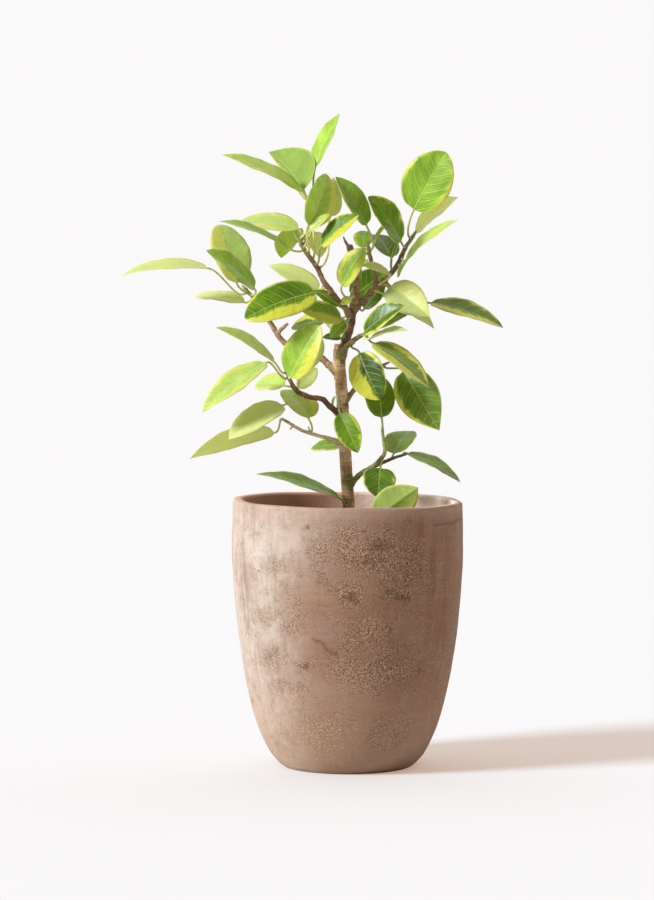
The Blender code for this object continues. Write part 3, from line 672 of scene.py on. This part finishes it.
def lathe(profile, segments):
    """Points and faces of a closed shape turned about Z. The profile starts and ends on the axis."""
    rings = profile[1:-1]
    angles = np.linspace(0, math.tau, segments, endpoint=False)
    turned = [
        np.column_stack([r * np.cos(angles), r * np.sin(angles), np.full(segments, z)]) for r, z in rings
    ]
    points = np.concatenate(turned + [[[0, 0, profile[0][1]]], [[0, 0, profile[-1][1]]]])
    faces = ring_quads(len(rings), segments)
    first, last = len(points) - 2, len(points) - 1
    end = (len(rings) - 1) * segments
    for k in range(segments):
        faces.append((first, (k + 1) % segments, k))
        faces.append((last, end + k, end + (k + 1) % segments))
    return points, faces


# ---- planter and soil


def pot_radius(height):
    """The planter's outer radius at a height, on a smooth curve through its swell."""
    ups = [up * POT_HEIGHT for up, _ in POT_SWELL] + [POT_HEIGHT]
    swell = POT_RADIUS - POT_BASE_RADIUS
    radii = [POT_BASE_RADIUS + swell * share for _, share in POT_SWELL] + [POT_RIM_RADIUS]
    i = max(0, min(len(ups) - 2, int(np.searchsorted(ups, height)) - 1))
    span = ups[i + 1] - ups[i]
    t = (height - ups[i]) / span
    if i < 2:
        return radii[i] + (radii[i + 1] - radii[i]) * t
    after = min(i + 2, len(ups) - 1)
    start = (radii[i + 1] - radii[i - 1]) / (ups[i + 1] - ups[i - 1]) * span
    end = (radii[after] - radii[i]) / (ups[after] - ups[i]) * span
    return bend(radii[i], start, radii[i + 1], end, t)


def patch_field(angle, height, patches):
    """How strongly each point lies inside the patches, given its degrees round from the front."""
    field = np.zeros(len(angle))
    for centre, level, wide, tall, strength in patches:
        away = np.abs((angle - centre + 180) % 360 - 180) / wide
        up = np.abs(height - level) / tall
        field = np.maximum(field, strength * np.exp(-((away**2 + up**2) * 0.7)))
    return field


def scattered(patches, count, seed):
    """These patches and more like them, spread over the sides and the back."""
    chance = random.Random(seed)
    more = []
    for _ in range(count):
        _, _, wide, tall, strength = chance.choice(patches)
        centre = chance.uniform(75, 285)
        more.append((centre, chance.uniform(35, 300), wide, tall, strength * chance.uniform(0.7, 1.0)))
    return patches + more


def painted_light_share(angle, height):
    """How far the wall is painted paler, as painted light: most on the left, where the light falls, and in a
    band below the rim.
    """
    left = smoothstep(-2, -58, angle)
    round_back = smoothstep(95, 150, angle)
    band = 0.45 * smoothstep(225, 300, height) * (0.3 + 0.7 * smoothstep(30, -30, angle))
    return np.clip(np.maximum(left, round_back) + band, 0, 1.2)


def crack_field(angle, height, radius):
    """How deep each point lies in a hairline crack."""
    field = np.zeros(len(angle))
    scale = np.pi / 180 * radius
    for line, depth in CRACKS:
        for (a0, z0), (a1, z1) in zip(line, line[1:]):
            px, pz = (angle - a0) * scale, height - z0
            lx, lz = (a1 - a0) * scale, z1 - z0
            t = np.clip((px * lx + pz * lz) / (lx**2 + lz**2), 0, 1)
            away = np.hypot(px - t * lx, pz - t * lz)
            field = np.maximum(field, depth * np.exp(-((away / CRACK_WIDTH) ** 2)))
    return field


def make_pot():
    outer = [(pot_radius(z), z) for z in np.linspace(0, POT_HEIGHT - RIM_ROUND, 128)]
    rim_middle = POT_RIM_RADIUS - WALL / 2
    lip = []
    for side, first, last in ((1, 0.15, math.pi / 2), (-1, math.pi / 2, 0.15)):
        for a in np.linspace(first, last, 6):
            across = WALL / 2 - RIM_ROUND + RIM_ROUND * math.cos(a)
            lip.append((rim_middle + side * across, POT_HEIGHT - RIM_ROUND * (1 - math.sin(a))))
    inner = [(pot_radius(z) - WALL, z) for z in np.linspace(POT_HEIGHT - RIM_ROUND, FLOOR + 10, 46)]
    inner += [(inner[-1][0] - 2.5, FLOOR + 4), (inner[-1][0] - 9, FLOOR)]
    base = [(r, 0) for r in np.linspace(6, POT_BASE_RADIUS - 5, 12)]
    floor = [(r, FLOOR) for r in np.linspace(inner[-1][0] - 8, 6, 9)]
    points, faces = lathe([(0, 0)] + base + outer + lip + inner + floor + [(0, FLOOR)], POT_SEGMENTS)
    pot = add_piece("planter", points, faces, ["pot"])
    for i in range(DRAIN_COUNT):
        angle = math.tau * (i + 0.5) / DRAIN_COUNT
        cut_hole(pot, DRAIN_PITCH_RADIUS * math.cos(angle), DRAIN_PITCH_RADIUS * math.sin(angle))
    shape_pot(pot.data)
    paint(pot, clay_skin())


def cut_hole(piece, x, y):
    shape = bmesh.new()
    bmesh.ops.create_cone(
        shape, cap_ends=True, segments=32, radius1=DRAIN_RADIUS * MM, radius2=DRAIN_RADIUS * MM, depth=0.05
    )
    bmesh.ops.translate(shape, vec=(x * MM, y * MM, FLOOR / 2 * MM), verts=shape.verts)
    cutter = add_object("drain", mesh_from(shape, "drain"))
    cut = piece.modifiers.new("drain", "BOOLEAN")
    cut.operation = "DIFFERENCE"
    cut.solver = "EXACT"
    cut.object = cutter
    apply_modifiers(piece)
    bpy.data.objects.remove(cutter, do_unlink=True)


def shape_pot(mesh):
    """Gives the turned planter its hand-made unevenness and writes where each kind of wear lies, and where
    the wall is painted paler for the light.
    """
    points = mesh_points(mesh)
    angle = np.degrees(np.arctan2(points[:, 0], -points[:, 1]))
    radius = np.hypot(points[:, 0], points[:, 1])
    height = points[:, 2]
    outer = np.array([pot_radius(z) for z in height])
    inside = smoothstep(3, 7, outer - radius) * (height > FLOOR - 1)
    outside = 1 - inside
    worn = patch_field(angle, height, scattered(WORN, 30, 3))
    rust = patch_field(angle, height, scattered(RUST, 20, 4))
    wobble = noise_at(points, (0.009, 0.009, 0.009))
    dents = noise_at(points, (0.035, 0.035, 0.035), (7, 3, 1))
    push = wobble * 1.1 + dents * 0.35 - (0.5 * worn + 0.5 * rust) * outside
    away = push * smoothstep(4, 30, height) / np.maximum(radius, 1)
    lift = smoothstep(180, POT_HEIGHT, height)
    points[:, :2] *= (1 + away)[:, None]
    waves = 0.6 * np.sin(np.radians(angle) * 3 + 1) + 0.35 * np.sin(np.radians(angle) * 7)
    points[:, 2] += lift * (waves - POT_TILT * points[:, 0] / POT_RADIUS)
    move_points(mesh, points)
    # Painted light on the inner wall: paler towards the right, where the light falls.
    lit = smoothstep(-40, 90, points[:, 0])
    fields = (
        worn * outside,
        rust * outside,
        patch_field(angle, height, scattered(BLOOM, 12, 5)),
        patch_field(angle, height, scattered(RUNS, 8, 6)) * outside,
        crack_field(angle, height, outer) * outside,
        painted_light_share(angle, height) * outside + lit * inside,
        height / POT_HEIGHT,
        inside,
    )
    for name, values in zip(CLAY_FIELDS, fields):
        set_attribute(mesh, name, values)


def make_soil():
    edge = pot_radius(SOIL_LEVEL) - WALL - GAP
    wall = [(pot_radius(z) - WALL - GAP, z) for z in np.linspace(FLOOR + 14, SOIL_LEVEL - 6, 24)]
    top = [(r, SOIL_LEVEL + SOIL_MOUND * (1 - r / edge)) for r in np.linspace(edge, 2, 56)]
    profile = [(0, FLOOR + GAP), (wall[0][0] - 11, FLOOR + GAP), (wall[0][0] - 3, FLOOR + 5)]
    points, faces = lathe(profile + wall + top + [(0, top[-1][1])], 200)
    chance = random.Random(11)
    for point in points:
        if point[2] > SOIL_LEVEL - 1:
            place = Vector(point)
            point[2] += 2.6 * noise.noise(place * 0.05) + 1.7 * noise.noise(place * 0.22)
            point[2] += chance.uniform(-0.35, 0.35)
    soil = add_piece("soil_bed", points, faces, ["soil"])
    paint(soil, earth_skin("earth", rgb(38, 27, 20), rgb(86, 64, 46)))


def make_granules():
    """Bark chips, pumice and crumbs lying on the soil."""
    chance = random.Random(21)
    edge = pot_radius(SOIL_LEVEL) - WALL - 4
    ball = bmesh.new()
    bmesh.ops.create_icosphere(ball, subdivisions=1, radius=1.0)
    corners = [v.co.copy() for v in ball.verts]
    sides = [tuple(v.index for v in f.verts) for f in ball.faces]
    ball.free()
    points, faces = [], []
    for _ in range(GRANULES):
        away = edge * math.sqrt(chance.uniform(0.008, 1))
        turn = chance.uniform(0, math.tau)
        size = chance.choice(GRANULE_SIZES) * chance.uniform(0.8, 1.2)
        flat = Matrix.Diagonal((chance.uniform(0.8, 1.4), chance.uniform(0.7, 1.1), chance.uniform(0.4, 0.8)))
        spin = Matrix.Rotation(chance.uniform(0, 6.3), 3, "Z")
        spin = spin @ Matrix.Rotation(chance.uniform(-0.6, 0.6), 3, "X")
        level = SOIL_LEVEL + SOIL_MOUND * (1 - away / edge) + size * 0.15
        centre = Vector((away * math.cos(turn), away * math.sin(turn), level))
        lump = [centre + spin @ (flat @ (c * size * chance.uniform(0.8, 1.15))) for c in corners]
        join(points, faces, lump, sides)
        # A draw left over after each granule. Without it every later granule would change.
        chance.random()
    granules = add_piece("soil_granules", points, faces, smooth=False)
    paint(granules, earth_skin("granules", rgb(62, 42, 28), rgb(150, 124, 96)))


# ---- wood


def above_soil(place):
    return Vector((place[0], place[1], place[2] + SOIL_LEVEL))


def smooth_path(points, steps):
    """Points along a Catmull-Rom curve through a branch's own, each with its radius last."""
    rows = [Vector((*above_soil(point), point[3])) for point in points]
    ends = [rows[0] * 2 - rows[1]] + rows + [rows[-1] * 2 - rows[-2]]
    path = []
    for i in range(len(rows) - 1):
        a, b, c, d = ends[i : i + 4]
        square, cube = 2 * a - 5 * b + 4 * c - d, 3 * b - 3 * c + d - a
        for step in range(steps):
            t = step / steps
            path.append(0.5 * (2 * b + (c - a) * t + square * t**2 + cube * t**3))
    return path + [rows[-1]]


def branch_at(name, share):
    """Middle, direction and radius of a branch at a share of the way along its path."""
    path = smooth_path(BRANCHES[name][2], WOOD_STEPS)
    place = share * (len(path) - 1)
    i = min(int(place), len(path) - 2)
    point = path[i].lerp(path[i + 1], place - i)
    along = (path[i + 1].to_3d() - path[i].to_3d()).normalized()
    return point.to_3d(), along, point[3]


def tube(path, sides):
    """Points and faces of a closed tube along a path of (x, y, z, radius)."""
    places = [Vector(row[:3]) for row in path]
    normal = (places[1] - places[0]).normalized().orthogonal()
    points = []
    for i, place in enumerate(places):
        way = (places[min(i + 1, len(places) - 1)] - places[max(i - 1, 0)]).normalized()
        normal = (normal - way * normal.dot(way)).normalized()
        other = way.cross(normal)
        for k in range(sides):
            angle = math.tau * k / sides
            points.append(place + (normal * math.cos(angle) + other * math.sin(angle)) * path[i][3])
    ends = [tuple(reversed(range(sides))), tuple(range(len(points) - sides, len(points)))]
    return points, ring_quads(len(places), sides) + ends


def knobbly(name, path):
    """The path with a swollen ring at each node, about every centimetre, and a bud or a cut at its end."""
    chance = random.Random(name)
    swelling, spacing = (0.05, 1.6) if name == "trunk" else (0.10, 1.0)
    rows, ring_at, walked = [], 9.0, 0.0
    for i, row in enumerate(path):
        if i:
            walked += (row.to_3d() - path[i - 1].to_3d()).length
        swell = 1 + swelling * math.exp(-(((walked - ring_at) / 1.6) ** 2))
        if walked > ring_at + 3:
            ring_at += chance.uniform(9, 15) * spacing
        rows.append(Vector((*row.to_3d(), row[3] * swell)))
    if name in CUT_ENDS:
        return rows
    along = (rows[-1].to_3d() - rows[-2].to_3d()).normalized()
    end = rows[-1].copy()
    for step, share in ((1.2, 1.05), (2.6, 0.85), (4.2, 0.5), (5.4, 0.15)):
        rows.append(Vector((*(end.to_3d() + along * end[3] * step), end[3] * share)))
    return rows


def make_wood():
    """The trunk, branches, spurs and leaf scars, skinned as one body."""
    points, faces, marks = [], [], []
    for name, (age, tint, middles) in (BRANCHES | SPURS).items():
        path = knobbly(name, smooth_path(middles, SKIN_STEPS))
        join(points, faces, *tube(path, WOOD_SIDES))
        for i, row in enumerate(path):
            share = i / (len(path) - 1)
            greener = 0.0 if name in CUT_ENDS else -0.8 * max(0.0, share - 0.72) / 0.28
            marks.append((row.to_3d(), age, max(-1.0, tint + greener)))
    for leaf in LEAVES:
        scar, out = stalk_foot(leaf)
        path = [Vector((*(scar - out * 1.5), 2.0)), Vector((*(scar + out * 0.6), 1.9))]
        join(points, faces, *tube(path, SCAR_SIDES))
    wood = add_piece("wood", points, faces, ["trunk_and_branches"])
    skin = wood.modifiers.new("skin", "REMESH")
    skin.mode = "VOXEL"
    skin.voxel_size = WOOD_VOXEL
    even = wood.modifiers.new("even", "SMOOTH")
    even.factor = 0.5
    even.iterations = 4
    apply_modifiers(wood)
    mark_wood(wood.data, marks)
    paint(wood, bark_skin())


def mark_wood(mesh, marks):
    """Roughens the bark and writes each point's age and tint from the nearest branch."""
    tree = kdtree.KDTree(len(marks))
    for i, (place, _, _) in enumerate(marks):
        tree.insert(place, i)
    tree.balance()
    normals = np.empty(len(mesh.vertices) * 3)
    mesh.vertices.foreach_get("normal", normals)
    points = mesh_points(mesh)
    nearest = [marks[tree.find(Vector(p))[1]] for p in points]
    set_attribute(mesh, "age", [age for _, age, _ in nearest])
    set_attribute(mesh, "tint", [tint for _, _, tint in nearest])
    set_attribute(mesh, "ring", smoothstep(0.28, 0.5, noise_at(points, (0.03, 0.03, 0.42))))
    ridges = noise_at(points, (0.5, 0.5, 0.12))
    lumps = noise_at(points, (0.3, 0.3, 0.3), (5, 5, 5))
    move_points(mesh, points + normals.reshape(-1, 3) * (ridges * 0.28 + lumps * 0.30)[:, None])


# ---- leaves


def leaf_frame(base, tip, tilt):
    """The blade's sideways direction and the way that its upper face looks."""
    along = (tip - base).normalized()
    up = (Vector((0, 0, 1)) - along * along.z).normalized()
    front = along.cross(up)
    if front.y > 0:
        front.negate()
    angle = math.radians(tilt)
    face = up * math.cos(angle) + front * math.sin(angle)
    return along.cross(face).normalized(), face


def stalk_foot(leaf):
    """Where a leaf's stalk leaves its branch, and the way it leaves."""
    branch, share, base = leaf[:3]
    middle, along, radius = branch_at(branch, share)
    out = above_soil(base) - middle
    out = (out - along * out.dot(along)).normalized()
    return middle + out * (radius + GAP), out


def midline(leaf):
    """The points of the stalk and of the midrib, and each midrib point's share of the blade."""
    base, tip, tilt, arch = above_soil(leaf[2]), above_soil(leaf[3]), leaf[5], leaf[6]
    _, face = leaf_frame(base, tip, tilt)
    chord = tip - base
    rise = 4 * arch * chord.length
    start, out = stalk_foot(leaf)
    pull = (base - start).length * 0.9
    blade_way = (chord + face * rise).normalized()
    stalk = [bend(start, out * pull, base, blade_way * pull, i / STALK_RINGS) for i in range(STALK_RINGS)]
    even = np.linspace(0, 1, BLADE_RINGS)
    shares = 0.55 * even + 0.45 * (0.5 - 0.5 * np.cos(math.pi * even))
    midrib = [base + chord * s + face * (rise * s * (1 - s)) for s in shares]
    return stalk, midrib, shares


def tip_power(number, width, length):
    """How fast a blade narrows to its tip: a slender blade tapers and a broad one is round."""
    if number in BLUNT_LEAVES:
        return 0.6
    if number in POINTED_LEAVES:
        return 1.1
    return min(1.1, max(0.66, 1.45 - 1.1 * width / length))


def half_outline(share, power):
    """The blade's half-width, as a share of its widest, at a share of its length."""
    if share < WIDEST:
        return math.sqrt(1 - (1 - share / WIDEST) ** 2)
    return (1 - ((share - WIDEST) / (1 - WIDEST)) ** 2) ** power


def margin_start(share, s, first, second, drift):
    """Where the lime margin starts, as a share of the half-width, at a point's shares across and along."""
    if share > 0.01:
        return first + drift * (s - 0.35)
    if share < -0.01:
        return second
    return (first + second) / 2 + drift * (s - 0.35) * (share > 0)


def there_and_back(over, under):
    """A row's values across the upper face, then back across the lower one."""
    return np.concatenate([over, under[::-1]])


def blade_section(s, half, length, fold, waves):
    """Offsets across and up from the midrib, upper side first, and each point's share and vein phase."""
    t = np.linspace(-1, 1, ACROSS)
    v = np.sign(t) * np.abs(t) ** 1.3
    breadth = np.abs(v)
    phase_left, phase_right, sway = waves
    wave = np.where(
        v < 0,
        np.sin(math.tau * (1.6 * s + phase_left)) + 0.4 * np.sin(math.tau * (4.3 * s + phase_right)),
        np.sin(math.tau * (1.5 * s + phase_right)) + 0.4 * np.sin(math.tau * (4.7 * s + phase_left)),
    )
    across = v * half * math.cos(fold)
    vein = s - 0.55 * breadth * half / length - 1.0 * (breadth * half / length) ** 2
    quilt = QUILT * -np.cos(math.tau * vein * SIDE_VEINS) * smoothstep(0.0, 0.3, breadth) * (1 - breadth**4)
    quilt *= smoothstep(0.0, 0.12, s) * smoothstep(0.0, 0.12, 1 - s)
    lift = half * math.sin(fold) * breadth * (1.4 - 0.4 * breadth) + half * sway * wave * breadth**2 + quilt
    thick = 0.25 + 0.2 * (1 - breadth)
    rib = np.exp(-((v * half / 1.5) ** 2)) * (1 - s) ** 0.7
    up = there_and_back(lift + thick + 0.25 * rib, lift - thick - 1.0 * rib)
    return there_and_back(across, across), up, there_and_back(v, v), there_and_back(vein, vein)


def make_leaf(name, leaf, number=0):
    """One leaf lofted from its round stalk into a folded, arched and gently waved blade."""
    _, _, base, tip, width, tilt, _, fold, tone, painted_glare, first, second = leaf
    drift = MARGIN_DRIFT.get(number, 0.0)
    chance = random.Random(name)
    waves = (chance.random(), chance.random(), chance.uniform(0.02, 0.05))
    seed = chance.random()
    base, tip = Vector(base), Vector(tip)
    length = (tip - base).length
    power = tip_power(number, width, length)
    sideways, _ = leaf_frame(base, tip, tilt)
    first_side = 1 if sideways.z - 0.5 * sideways.x > 0 else -1
    stalk, midrib, shares = midline(leaf)
    line = stalk + midrib
    circle = np.linspace(math.pi, 0, ACROSS)
    round_across = there_and_back(np.cos(circle), np.cos(circle))
    round_up = there_and_back(np.sin(circle), -np.sin(circle))
    points, values = [], []
    for i, middle in enumerate(line):
        way = (line[min(i + 1, len(line) - 1)] - line[max(i - 1, 0)]).normalized()
        across_way = (sideways - way * sideways.dot(way)).normalized()
        face = across_way.cross(way)
        on_blade = i >= len(stalk)
        s = shares[i - len(stalk)] if on_blade else 0.0
        along = s if on_blade else i / len(stalk) - 1
        half = half_outline(min(s, 0.997), power) * width / 2
        across, up, v, veins = blade_section(s, half, length, math.radians(fold), waves)
        blend = float(smoothstep(0.0, 0.045, s))
        radius = STALK_RADIUS * (1.0 if on_blade else 1.25 - 0.25 * min(1.0, i / 3))
        across = across * blend + round_across * radius * (1 - blend)
        up = up * blend + round_up * radius * (1 - blend)
        droop = -TIP_DROOP * length * max(0.0, s - 0.82) ** 2
        points += [middle + across_way * a + face * (u + droop) for a, u in zip(across, up)]
        for share, vein in zip(v * first_side, veins):
            margin = margin_start(share, s, first, second, drift)
            values.append((along, share, vein, abs(share) * half, margin, tone, painted_glare, seed))
    ring = 2 * ACROSS
    faces = ring_quads(len(line), ring, flipped=True)
    faces.append(tuple(range(ring)))
    faces.append(tuple(reversed(range(len(points) - ring, len(points)))))
    piece = add_piece(name, points, faces, [f"leaf_{number:02d}"] if number else [])
    for key, column in zip(LEAF_FIELDS, zip(*values)):
        set_attribute(piece.data, key, column)
    paint(piece, *LEAF_MATERIALS)
    blade_start = (len(stalk) + 1) * ring
    for k, polygon in enumerate(piece.data.polygons):
        under = k % ring >= ACROSS - 1
        polygon.material_index = 2 if k < blade_start else 1 if under else 0


# ---- studio


def make_floor():
    """A wide pale floor. Seen directly it is bright, as in a high-key studio, and its own light on
    the plant is that of a plain pale floor."""
    shape = bmesh.new()
    bmesh.ops.create_circle(shape, cap_ends=True, segments=64, radius=STUDIO_RADIUS)
    floor = add_object("studio_floor", mesh_from(shape, "studio_floor"))
    n = new_material("studio_floor")
    seen = n.node("LightPath", output="Is Camera Ray")
    matt = n.node("BsdfDiffuse", {"Color": n.mix(seen, FLOOR_BOUNCE, FLOOR_SEEN)})
    glow = n.node("Emission", {"Color": FLOOR_LIFT, "Strength": seen})
    paint(floor, n.finish(n.node("AddShader", {0: matt, 1: glow})))


def make_backdrop():
    """A bright studio all round, brightest behind the plant. Seen directly it is an even pale wall."""
    world = bpy.data.worlds.new("studio")
    bpy.context.scene.world = world
    n = Nodes(world)
    way = n.node("TexCoord", output="Generated")
    back = n.node("SeparateXYZ", {0: way}, "Y")
    around = n.mix(n.step(back, -0.35, 0.65), AMBIENT_FRONT, AMBIENT_BACK)
    seen = n.node("LightPath", output="Is Camera Ray")
    sky = n.node("Background", {"Color": n.mix(seen, around, BACKDROP)})
    n.finish(sky, "OutputWorld")


def light_studio():
    key = bpy.data.lights.new("key", "SUN")
    key.energy = KEY_STRENGTH
    key.angle = math.radians(KEY_SPREAD)
    key.color = KEY_COLOUR
    lamp = add_object("key", key)
    side, height = math.radians(KEY_SIDE), math.radians(KEY_HEIGHT)
    towards = Vector(
        (-math.sin(side) * math.cos(height), -math.cos(side) * math.cos(height), math.sin(height))
    )
    lamp.rotation_euler = towards.to_track_quat("Z", "Y").to_euler()


def place_camera():
    data = bpy.data.cameras.new("camera")
    data.lens = CAMERA_LENS
    data.sensor_width = 36.0
    camera = add_object("camera", data)
    camera.location = CAMERA_PLACE
    aim = Vector(CAMERA_AIM) - Vector(CAMERA_PLACE)
    camera.rotation_euler = aim.to_track_quat("-Z", "Y").to_euler()
    bpy.context.scene.camera = camera


place_camera()
make_backdrop()
light_studio()
make_floor()
bpy.context.scene.view_settings.view_transform = "Standard"

make_pot()
make_soil()
make_granules()
make_wood()

LEAF_MATERIALS = [leaf_skin("leaf_upper", True), leaf_skin("leaf_under", False), stalk_skin()]
for number, leaf in enumerate(LEAVES, 1):
    make_leaf(f"ficus_leaf_{number:02d}", leaf, number)
for number, leaf in enumerate(YOUNG_LEAVES, 1):
    make_leaf(f"young_leaf_{number:02d}", leaf)
